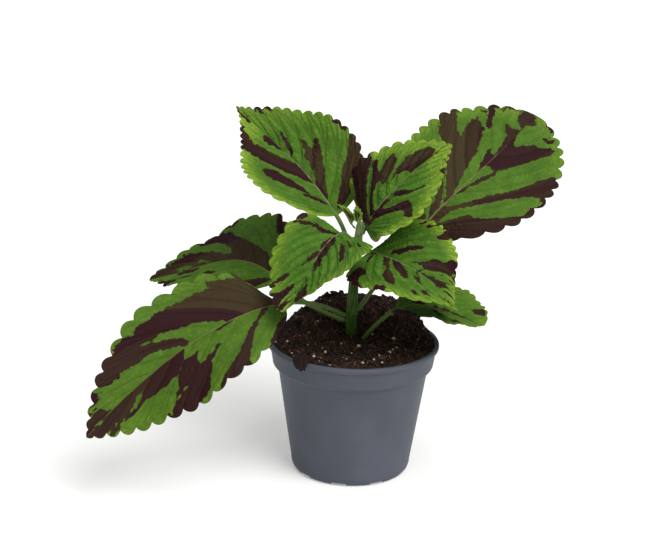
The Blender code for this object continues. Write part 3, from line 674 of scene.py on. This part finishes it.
# how far from the nearest whole number
def offWhole(values):
    return np.abs(values - np.round(values))


def throughThree(values, t):
    a, b, c = values
    return a * 2 * (t - 0.5) * (t - 1) - b * 4 * t * (t - 1) + c * 2 * t * (t - 0.5)


def leafScale(leaf):
    return min(1.0, 0.25 + leaf["length"] / 100)


def stalkRadius(leaf):
    return 0.5 * blade["petioleThick"] * leafScale(leaf)


def petioleAngles(leaf, t):
    rise = leaf["rise"][0] + (leaf["rise"][1] - leaf["rise"][0]) * t ** 1.5
    return rise, leaf["heading"][0] + (leaf["heading"][1] - leaf["heading"][0]) * t


def midribAngles(leaf, x):
    return throughThree(leaf["rise"][1:], x), throughThree(leaf["heading"][1:], x)


def rollAt(leaf, x):
    return leaf["roll"][0] + (leaf["roll"][1] - leaf["roll"][0]) * x


# points along the petiole and along the midrib, in mm
def centreLines(leaf, steps=60):
    mid = (np.arange(steps) + 0.5) / steps
    z = leaf["node"]
    lean = stalkRadius(leaf) * math.sin(math.radians(leaf["rise"][0]))
    out = leaf.get("out", stemRadius(z, math.radians(leaf["heading"][0])) + 0.4 + lean)
    start = np.array([stemCentre(z), 0, z]) + direction(0, leaf["heading"][0]) * out
    run = direction(*petioleAngles(leaf, mid)) * leaf["petiole"] / steps
    petiole = np.vstack([start, start + np.cumsum(run, 0)])
    run = direction(*midribAngles(leaf, mid)) * leaf["length"] / steps
    return petiole, np.vstack([petiole[-1], petiole[-1] + np.cumsum(run, 0)])


def alongLine(line, t):
    places = np.linspace(0, 1, len(line))
    return np.stack([np.interp(t, places, line[:, k]) for k in range(3)], -1)


# directions to the left and up across a leaf
def crossFrame(rise, heading, roll):
    e, h, r = np.radians(rise), np.radians(heading), np.radians(roll)
    left = np.stack([-np.sin(h), np.cos(h), 0 * h], -1)
    up = np.stack([-np.sin(e) * np.cos(h), -np.sin(e) * np.sin(h), np.cos(e)], -1)
    c, s = np.cos(r)[..., None], np.sin(r)[..., None]
    return left * c + up * s, up * c - left * s


def halfWidth(leaf, x):
    a, b = leaf["belly"], leaf["point"]
    widest = a / (a + b)
    x = np.clip(x, 0, 1)
    return 0.5 * leaf["width"] * (x / widest) ** a * ((1 - x) / (1 - widest)) ** b


# where row u crosses column v: the part of the midrib, and the row's half width and margin
def rowPlaces(leaf, u, v, side):
    atMidrib, atMargin = 1 - (1 - u) ** blade["rowMidrib"], 1 - (1 - u) ** blade["rowMargin"]
    width = np.maximum(halfWidth(leaf, atMargin) * (1 + side * leaf["skew"]), stalkRadius(leaf) * (1 - u))
    return atMidrib + (atMargin - atMidrib) * v ** 1.4, width, atMargin


# places and normals of rows u and columns v, the part of the midrib, and the distance out from it
def bladePlace(leaf, midrib, u, v, side):
    x, width, atMargin = rowPlaces(leaf, u, v, side)
    near = np.clip(np.stack([atMargin - 0.01, atMargin + 0.01]), 0, 1)
    slope = (halfWidth(leaf, near[1]) - halfWidth(leaf, near[0])) / ((near[1] - near[0]) * leaf["length"])
    toothed = blade["toothDepth"] * leaf["length"] / leaf["teeth"]
    depth = min(toothed, blade["mostTooth"], 0.12 * leaf["width"])
    depth = depth * np.minimum(1, np.minimum(8 * u, 6 * (1 - u))) / np.hypot(1, slope)
    scallop = np.abs(np.sin(math.pi * u * leaf["teeth"])) ** 0.55 - 0.7
    depth = depth * scallop * np.clip((v - 0.7) / 0.3, 0, 1) ** 1.6
    width = width + depth
    x = x - depth * slope / leaf["length"]
    opening, onLeft = np.minimum(1.0, 12 * u), side > 0
    fold = opening * np.radians(np.where(onLeft, *leaf["fold"]))
    curl = opening * np.radians(np.where(onLeft, *leaf["curl"]))
    curl = np.where(np.abs(curl) < 1e-4, 1e-4, curl)
    out = width * (np.sin(fold + curl * v) - np.sin(fold)) / curl
    lift = width * (np.cos(fold) - np.cos(fold + curl * v)) / curl
    lift = lift + leaf["ruffle"] * v * v * np.sin(fullTurn * (3.5 * u + 0.25 * side)) * np.sin(math.pi * u)
    across, up = crossFrame(*midribAngles(leaf, x), rollAt(leaf, x))
    tilt = (fold + curl * v) * np.minimum(1, 4 * v)
    place = alongLine(midrib, x) + across * (side * out)[..., None] + up * lift[..., None]
    normal = up * np.cos(tilt)[..., None] - across * (side * np.sin(tilt))[..., None]
    return place, normal, x, v * width


# where on the margin the side vein ends that leaves the midrib at w
def veinEnd(w, reach):
    return 1 - (1 - reach) * (1 - w) ** 2.2


# which side vein passes through x and v, as the part of the midrib where it starts; below 0 they fan out
# from the blade's base
def sideVein(leaf, x, v, side):
    reach = np.where(side > 0, *leaf["reach"])
    sweep = np.maximum(v, 1e-3) ** 1.25
    low, high = np.zeros_like(x), np.ones_like(x)
    for _ in range(24):
        w = (low + high) / 2
        before = w + (veinEnd(w, reach) - w) * sweep < x
        low, high = np.where(before, w, low), np.where(before, high, w)
    return np.where(x < reach * sweep, x / sweep - reach, w)


# how deep in the nearest of these runs, in mm; below 0 outside them
def runDepth(leaf, runs, w, v, width):
    depth = np.full(w.shape, -9.0)
    for run in runs:
        out, low, high = (np.array(column, float) for column in zip(*run))
        out, low, high = out / 10, low / 100, high / 100
        inside = np.minimum(w - np.interp(v, out, low), np.interp(v, out, high) - w) * 0.6 * leaf["length"]
        start = (v - out[0]) * width if out[0] > 0 else np.full(v.shape, 9.0)
        end = (out[-1] - v) * width if out[-1] < 1 else np.full(v.shape, 9.0)
        depth = np.maximum(depth, np.minimum(inside, np.minimum(start, end)))
    return depth


# the same for the burgundy of one half, less its green islands
def markDepth(leaf, mark, half, w, v, width):
    depth = runDepth(leaf, mark.get(half, []), w, v, width)
    return np.minimum(depth, -runDepth(leaf, mark.get(half + "Green", []), w, v, width))


# each place's cell of the fine net of veins, and how far it is from the cell's edge, in mm
def netCells(leaf, flat, spacing, seed):
    rng = np.random.default_rng(seed)
    long, wide = leaf["length"], leaf["width"] * 0.62
    count = int(long * 2 * wide / spacing ** 2)
    seeds = rng.uniform((0, -wide), (long, wide), (count, 2))
    tree = KDTree(count)
    for i, (x, y) in enumerate(seeds):
        tree.insert((x, y, 0), i)
    tree.balance()
    cell, edge = np.empty((len(flat), 2)), np.empty(len(flat))
    for i, (x, y) in enumerate(flat):
        (_, first, near), (_, _, far) = tree.find_n((x, y, 0), 2)
        cell[i], edge[i] = seeds[first], (far - near) / 2
    return cell, edge


# a two-sided sheet of cells: x counts columns from -0.5 to 0.5, y rows, and z is -1 on the underside
def leafGrid(leaf):
    bm = bmesh.new()
    cell = blade["cell"] * 1
    columns = 2 * max(6, round(leaf["width"] / 2 / cell / 0.95))
    rows = max(24, round(leaf["length"] / cell))
    bmesh.ops.create_grid(bm, x_segments=columns, y_segments=rows, size=0.5)
    sheet = list(bm.verts) + list(bm.edges) + list(bm.faces)
    copied = bmesh.ops.extrude_face_region(bm, geom=sheet, use_keep_orig=True)["geom"]
    for vert in (item for item in copied if isinstance(item, bmesh.types.BMVert)):
        vert.co.z = -1
    for face in bm.faces:
        face.material_index = int(all(v.co.z < -0.5 for v in face.verts))
    return toMesh(bm, "leafGrid")


# the quilting between the side veins, which fork towards the margin: its height in mm, how deep in a vein's
# groove each place lies, and where it lies from one vein to the next
def quilting(leaf, w, u, v, out, width, edge, spacing):
    veinGap = blade["veinGap" if leaf["length"] > 30 else "youngVeinGap"]
    lean = leaf["length"] * 0.55
    phase = (w + 2) / veinGap
    toVein = offWhole(phase) * veinGap * lean
    fork = 0.5 * np.clip((v - 0.5) / 0.5, 0, 1)
    forked = np.minimum(offWhole(phase - fork), offWhole(phase + fork))
    toVein = np.minimum(toVein, np.where(v > 0.5, forked * veinGap * lean, 9))
    veinWidth = (0.9 - 0.5 * v) * min(1, 0.3 + leaf["length"] / 90)
    groove = np.exp(-(toVein / veinWidth) ** 2)
    quilt = (0.35 + 0.95 * leaf["young"]) * min(1, leaf["length"] / 60)
    bulge = quilt * (1 - np.exp(-(edge / (0.28 * spacing)) ** 2)) * (1 - 0.75 * groove)
    bulge += 0.5 * quilt * np.sin(np.clip(toVein / (veinGap * lean), 0, 0.5) * math.pi)
    fade = np.clip(out / 1.5, 0, 1) * np.clip(12 * u, 0, 1) * np.clip(10 * (1 - u), 0, 1)
    fade = fade * np.clip((1 - v) * width / 1.5, 0.25, 1)
    return (bulge - blade["veinGroove"] * groove) * fade, groove, phase


# how deep in the burgundy marks each place lies, in mm, and their tone; the marks end partly along the cells
# of the net, which gives them stepped edges
def burgundy(name, leaf, seed, phase, w, v, side, out, width, cell):
    tone = np.sin(np.floor(phase) * 12.9898 + side * 4.1 + seed) * 43758.5453
    tone -= np.floor(tone)
    depth = np.empty(len(w))
    cellX, cellOut = cell[:, 0] / leaf["length"], np.abs(cell[:, 1])
    cellV = np.clip(cellOut / np.maximum(width, 1), 0, 1)
    cellW = sideVein(leaf, np.clip(cellX, 0, 1), cellV, side)
    for way, half in ((1, "left"), (-1, "right")):
        here = side == way
        places = w[here], v[here], width[here]
        exact = markDepth(leaf, marks[name], half, *places)
        stepped = markDepth(leaf, marks[name], half, cellW[here], cellV[here], width[here])
        depth[here] = 0.6 * exact + 0.4 * stepped
        olive = runDepth(leaf, marks[name].get(half + "Olive", []), *places) > 0
        tone[here] = np.where(olive, 0.75 + 0.25 * tone[here], 0.55 * tone[here])
    if "mottle" in leaf:
        start, strength = leaf["mottle"]
        broken = np.array([noise.fractal(Vector((a * leaf["length"] * 0.3, b * 0.07, seed)), 0.7, 2.3, 3)
                           for a, b in zip(w, out)])
        busy = strength * np.clip((w - start) / 0.12, 0, 1)
        depth = np.where(busy > 0, np.maximum(depth, -2.2) + busy * (5.5 * broken + 0.4), depth)
    return depth, tone


def makeLeaf(name, piece, leaf, materials, seed):
    petiole, midrib = centreLines(leaf)
    mesh = leafGrid(leaf)
    grid = np.empty(len(mesh.vertices) * 3, np.float32)
    mesh.vertices.foreach_get("co", grid)
    grid = grid.reshape(-1, 3).astype(float)
    u, v = np.clip(grid[:, 1] + 0.5, 0, 1), np.clip(np.abs(grid[:, 0]) * 2, 0, 1)
    side = np.where(grid[:, 0] >= 0, 1, -1)
    place, normal, x, out = bladePlace(leaf, midrib, u, v, side)
    width = np.maximum(out, 0.01) / np.maximum(v, 1e-3)
    w = sideVein(leaf, x, v, side)
    flat = np.stack([x * leaf["length"], side * out], -1)

    young = leaf["young"]
    spacing = blade["netSpacing"] * (1 - 0.3 * young) * min(1, 0.35 + leaf["length"] / 100)
    cell, edge = netCells(leaf, flat, spacing, seed)
    lift, groove, phase = quilting(leaf, w, u, v, out, width, edge, spacing)
    thick = blade["thick"] * np.clip((1 - v) * width / 1.2, 0.45, 1)
    place = place + normal * (lift + np.where(grid[:, 2] < -0.5, -0.5, 0.5) * thick)[:, None]
    mesh.vertices.foreach_set("co", (place * mm).astype(np.float32).ravel())

    depth, tone = burgundy(name, leaf, seed, phase, w, v, side, out, width, cell)
    tracks = dict(mark=np.clip(depth, -4, 4), vein=groove * np.clip(20 * (1 - u), 0, 1),
                  net=np.exp(-(edge / (0.16 * spacing)) ** 2), margin=(1 - v) * width,
                  young=np.full(len(flat), young), lime=np.where(side > 0, *leaf["lime"]), tone=tone)
    for label, values in tracks.items():
        track = mesh.attributes.new(name=label, type="FLOAT", domain="POINT")
        track.data.foreach_set("value", values.astype(np.float32))
    loops = np.empty(len(mesh.loops), np.int32)
    mesh.loops.foreach_get("vertex_index", loops)
    uv = np.stack([flat[:, 0] / blade["mapSize"], flat[:, 1] / blade["mapSize"] + 0.5], -1)[loops]
    mesh.uv_layers.new(name="leafMap").data.foreach_set("uv", uv.astype(np.float32).ravel())

    bm = bmesh.new()
    bm.from_mesh(mesh)
    bpy.data.meshes.remove(mesh)
    bmesh.ops.remove_doubles(bm, verts=bm.verts, dist=0.01 * mm)
    bmesh.ops.recalc_face_normals(bm, faces=bm.faces)
    if bm.calc_volume(signed=True) < 0:
        bmesh.ops.reverse_faces(bm, faces=bm.faces)
    stalk = bmesh.new()
    addStalk(stalk, leaf, petiole, midrib)
    bmesh.ops.recalc_face_normals(stalk, faces=stalk.faces)
    addLeafHairs(stalk, leaf, petiole, seed)
    stalkMesh = toMesh(stalk, "stalk")
    bm.from_mesh(stalkMesh)
    bpy.data.meshes.remove(stalkMesh)
    addPiece(piece, bm, materials, name)


# the petiole, grooved along its top, runs on as the midrib under the blade and tapers to its tip
def addStalk(bm, leaf, petiole, midrib):
    radius = stalkRadius(leaf)
    stalkT, ribT = np.linspace(0, 1, 26), np.linspace(0, 1, 70)[1:]
    root = alongLine(petiole, stalkT)
    root[0] -= direction(leaf["rise"][0], leaf["heading"][0]) * (0.9 if "out" not in leaf else 0)
    rise, heading = petioleAngles(leaf, stalkT)
    leftStalk, upStalk = crossFrame(rise, heading, leaf["roll"][0] * stalkT)
    leftRib, upRib = crossFrame(*midribAngles(leaf, ribT), rollAt(leaf, ribT))
    stalkR = radius * (1 + 0.18 * np.exp(-stalkT / 0.06))
    ribR = radius * (0.16 + 0.84 * (1 - ribT) ** 1.6)
    ribR = np.minimum(ribR, radius * np.clip((1 - ribT) * 12, 0, 1))
    proud = 0.36 * np.clip((0.75 - ribT) / 0.45, -1, 1) * leafScale(leaf)
    sink = ribR - (blade["thick"] / 2 + proud * 0.5)
    below = upRib * sink[:, None] * np.clip(ribT * 25, 0, 1)[:, None]
    line = np.vstack([root, alongLine(midrib, ribT) - below])
    radii = np.concatenate([stalkR, ribR])
    radii[0] = radii[-1] = 0
    across = np.vstack([leftStalk, leftRib])

    def grooved(turn, row):
        top = math.cos(turn - 1.5 * math.pi)
        channel = math.exp(-((1 - top) / 0.12)) if row < 30 else 0
        return 1 - 0.28 * channel
    addTube(bm, line, radii, 14, across, grooved, slot=2, changeRow=28)


def addLeafHairs(bm, leaf, petiole, seed):
    rng = np.random.default_rng(seed + 50)
    radius = stalkRadius(leaf)
    for _ in range(int(12 * leaf["petiole"])):
        t, turn = rng.uniform(0.02, 1), rng.uniform(0, fullTurn)
        rise, heading = petioleAngles(leaf, t)
        left, up = crossFrame(np.array(rise), np.array(heading), np.array(leaf["roll"][0] * t))
        out = left * math.cos(turn) + up * math.sin(turn)
        place = alongLine(petiole, np.array(t)) + out * radius * 0.95
        addHair(bm, place, out + rng.normal(0, 0.3, 3), rng.uniform(0.4, 0.9), 4)


# sRGB: greens of the old and the young leaves, and the tones of the burgundy; on the upper skin the crease
# and vein colours are painted shade in the creases and vein grooves
topColours = dict(old=("44621b", "4f6f20"), fresh=("41671b", "507a24"), lime="8aa834", speckle="5f7f30",
                  paintedCreaseShade="2d4a15", greenVeinAndGrooveShade="34541a", purple="2a0f16", olive="3a311b", dusty="38201b",
                  brownVeinAndGrooveShade="1e0e0b")
# underside: the crease colour is painted shade too, and the vein colours are the veins' own paler tone
underColours = dict(old=("566f40", "607b49"), fresh=("5f7d42", "69864c"), lime="7f9c50", speckle="74905a",
                    paintedCreaseShade="4a6534", greenVeinAndGrooveShade="7d945f", purple="3e2a27", olive="463827", dusty="54402f",
                    brownVeinAndGrooveShade="5c4a3a")


# green with burgundy marks on the leaf's own map, in mm; the young leaves are brighter, and lime at the rim
def leafColours(node, c):
    uv = node("UVMap", uv_map="leafMap")
    place = node("Mapping", {"Vector": uv, "Scale": (blade["mapSize"], blade["mapSize"], 1)})
    mark, vein, net, margin, young, lime, tone = (
        node("Attribute", out="Fac", attribute_name=name)
        for name in ("mark", "vein", "net", "margin", "young", "lime", "tone"))
    ragged = node("TexNoise", {"Vector": place, "Scale": 0.9, "Detail": 3})
    cloud = node("TexNoise", {"Vector": place, "Scale": 0.09, "Detail": 3})
    fine = node("TexNoise", {"Vector": place, "Scale": 1.6, "Detail": 3})
    cloudy = node("MapRange", {0: cloud, 1: 0.35, 2: 0.65}, **eased)
    speckled = node("MapRange", {0: fine, 1: 0.45, 2: 0.72, 4: 0.3}, **eased)

    old = node("Mix", {0: cloudy, 6: c["old"][0], 7: c["old"][1]}, **mixed)
    fresh = node("Mix", {0: cloudy, 6: c["fresh"][0], 7: c["fresh"][1]}, **mixed)
    green = node("Mix", {0: young, 6: old, 7: fresh}, **mixed)
    spread = node("Math", {0: cloud, 1: 9.0, 2: margin}, operation="MULTIPLY_ADD")
    atRim = node("MapRange", {0: spread, 1: 15, 2: 4}, **eased)
    limeRim = node("Math", {0: atRim, 1: lime}, operation="MULTIPLY")
    # painted shade: a darker green along the sunken creases of the fine net, on both sides of the leaf
    paintedCreaseShade = node("Math", {0: net, 1: 0.3}, operation="MULTIPLY")
    creased = node("MapRange", {0: young, 3: 0.25, 4: 0.6})
    # on the upper skin the vein colours are darker, painted shade in the veins' grooves; on the underside,
    # where the veins stand out, they are the veins' own paler tone
    inVein = node("Math", {0: vein, 1: creased}, operation="MULTIPLY")
    for share, key in ((limeRim, "lime"), (speckled, "speckle"), (paintedCreaseShade, "paintedCreaseShade"), (inVein, "greenVeinAndGrooveShade")):
        green = node("Mix", {0: share, 6: green, 7: c[key]}, **mixed)

    brown = node("Mix", {0: tone, 6: c["purple"], 7: c["olive"]}, **mixed)
    for share, key in ((speckled, "dusty"), (inVein, "brownVeinAndGrooveShade")):
        brown = node("Mix", {0: share, 6: brown, 7: c[key]}, **mixed)
    offset = node("Math", {0: ragged, 1: 1.2, 2: mark}, operation="MULTIPLY_ADD")
    marked = node("MapRange", {0: offset, 1: 0.42, 2: 0.78}, **eased)
    return node("Mix", {0: marked, 6: green, 7: brown}, **mixed), place


# a fine pebbled skin between the small veins
def leafBump(node, place, depth):
    pebble = node("TexVoronoi", {"Vector": place, "Scale": 1.1}, feature="SMOOTH_F1")
    skin = node("TexNoise", {"Vector": place, "Scale": 3.0, "Detail": 2})
    sunk = node("Math", {0: pebble, 1: -1.0, 2: skin}, operation="MULTIPLY_ADD")
    return node("Bump", {"Height": sunk, "Strength": 0.6, "Distance": depth * mm})


def leafSkin(name, colours, pebbleDepth, roughness, specular):
    material, node = newMaterial(name)
    colour, place = leafColours(node, colours)
    return setShader(material, {"Base Color": colour, "Normal": leafBump(node, place, pebbleDepth),
                                "Roughness": roughness, "IOR": 1.4, "Specular IOR Level": specular})


# petiole or midrib: juicy green, or green-tan flushed with pink, finely ridged along
def stalkSkin(name, green, flush, pale):
    material, node = newMaterial(name)
    place = node("TexCoord", out="Object")
    fine = node("TexNoise", {"Vector": place, "Scale": 1 / (0.8 * mm), "Detail": 2})
    faded = node("Math", {0: fine, 1: 0.4}, operation="MULTIPLY")
    _, ground = mottled(node, place, 16, 2, (0.4, 0.62), green, flush)
    colour = node("Mix", {0: faded, 6: ground, 7: pale}, **mixed)
    bump = node("Bump", {"Height": fine, "Strength": 0.4, "Distance": 0.15 * mm})
    return setShader(material, {"Base Color": colour, "Normal": bump, "Roughness": 0.5, "IOR": 1.4,
                                "Specular IOR Level": 0.3})


def makeLeaves():
    # the upper skin: soft, half matt, quilted, with a velvet of short hairs
    top = leafSkin("coleusLeafTop", topColours, 0.22, 0.6, 0.1)
    # the underside: paler, greyer and duller, with the marks showing through
    under = leafSkin("coleusLeafUnderside", underColours, 0.3, 0.7, 0.2)
    stalk = stalkSkin("leafStalk", "476b22", "52602c", "6d7d47")
    ribs = [stalkSkin("midrib", "55622c", "6a4e36", "7c6c4a"),
            stalkSkin("youngMidrib", "6f7048", "78605a", "93877f")]
    for seed, (name, leaf) in enumerate(leaves.items()):
        materials = [top, under, stalk, ribs[int(leaf["young"] > 0.5)], bpy.data.materials["clearHair"]]
        first, *others = name.split("_")
        piece = first + "".join(word.capitalize() for word in others)
        makeLeaf(name, piece, leaf, materials, seed)
        print(piece, "done")


makeLeaves()


# floor, light and camera

studio = dict(floorR=7.0, floorColour="dcdcda", floorGlow=0.3, skyPower=0.2,
              key=dict(heading=-50, rise=51, power=3.05, soft=42),
              fill=dict(heading=150, rise=78, power=1.2, soft=70))
view = dict(elevation=18, distance=1.2, target=(-0.0182, 0, 0.138), lens=94.92, roll=1.4)


def addSun(name, heading, rise, power, soft):
    light = bpy.data.lights.new(name, "SUN")
    light.energy, light.angle = power, math.radians(soft)
    back = Vector([float(c) for c in direction(rise, heading)])
    addObject(name, light).rotation_euler = back.to_track_quat("Z", "Y").to_euler()


def makeStudio():
    s = studio
    bm = bmesh.new()
    bmesh.ops.create_circle(bm, cap_ends=True, segments=96, radius=s["floorR"])
    floor = addObject("paleFloor", toMesh(bm, "paleFloor"))
    # matt paint with a painted glow: the floor gives off light of its own though it is no lamp, so that the
    # shadows on it stay pale
    paint, _ = newMaterial("paleFloorPaintedGlow")
    setShader(paint, {"Base Color": s["floorColour"], "Roughness": 0.9,
                      "Emission Color": (1, 1, 1, 1), "Emission Strength": s["floorGlow"]})
    floor.data.materials.append(paint)
    addSun("keyLight", **s["key"])
    addSun("fillLight", **s["fill"])
    world = bpy.data.worlds.new("softSky")
    world.use_nodes = True
    sky = world.node_tree.nodes["Background"]
    sky.inputs["Color"].default_value = (1, 1, 1, 1)
    sky.inputs["Strength"].default_value = s["skyPower"]
    bpy.context.scene.world = world
    bpy.context.scene.view_settings.view_transform = "Standard"


def makeCamera():
    c = view
    lens = bpy.data.cameras.new("photoView")
    lens.lens = c["lens"]
    lens.clip_end = 50
    camera = addObject("photoView", lens)
    elevation = math.radians(c["elevation"])
    back = Vector((0, -math.cos(elevation), math.sin(elevation)))
    camera.matrix_world = (Matrix.Translation(Vector(c["target"]) + back * c["distance"])
                           @ Matrix.Rotation(math.pi / 2 - elevation, 4, "X")
                           @ Matrix.Rotation(math.radians(c["roll"]), 4, "Z"))
    bpy.context.scene.camera = camera


makeStudio()
makeCamera()
print("studio done")
